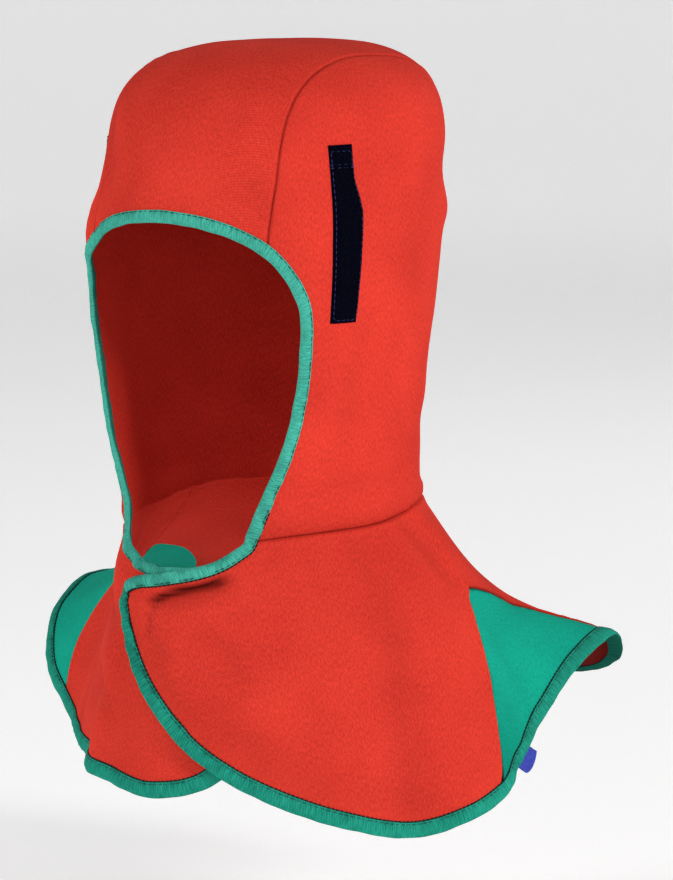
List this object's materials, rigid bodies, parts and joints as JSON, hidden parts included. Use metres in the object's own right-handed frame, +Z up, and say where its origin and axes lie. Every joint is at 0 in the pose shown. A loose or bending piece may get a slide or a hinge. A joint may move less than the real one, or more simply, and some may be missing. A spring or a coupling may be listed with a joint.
{
  "type": "welding hood",
  "caption": "Flame-resistant cotton welder's hood that covers the head, neck and shoulders, open at the face, with bound edges, a wrap-over front and green shoulder gussets.",
  "frame": {"origin": "the inside of the crown where the top of the head rests, on the mid plane of the head", "axes": "+Z up out of the crown, -Y the way the face looks, +X the wearer's left"},
  "size_m": [0.3056, 0.294, 0.3678],
  "materials": {
    "red_cloth": "flame-resistant cotton twill, orange-red, matt",
    "green_cloth": "flame-resistant cotton twill, green, matt",
    "green_binding": "green cotton bias binding, folded over the edge and stitched",
    "navy_tape": "near-black navy woven loop tape, short brushed pile",
    "blue_tape": "blue woven tape"
  },
  "bodies": {
    "root": {"crown_panel": "red_cloth", "side_panel_left": "red_cloth", "side_panel_right": "red_cloth", "front_cape_left": "red_cloth", "front_cape_right": "red_cloth", "back_cape": "red_cloth", "shoulder_gusset_left": "green_cloth", "shoulder_gusset_right": "green_cloth", "face_binding": "green_binding", "hem_binding": "green_binding", "helmet_tape_left": "navy_tape", "helmet_tape_right": "navy_tape", "closure_tape": "navy_tape", "hem_tab": "blue_tape"}
  },
  "joints": []
}
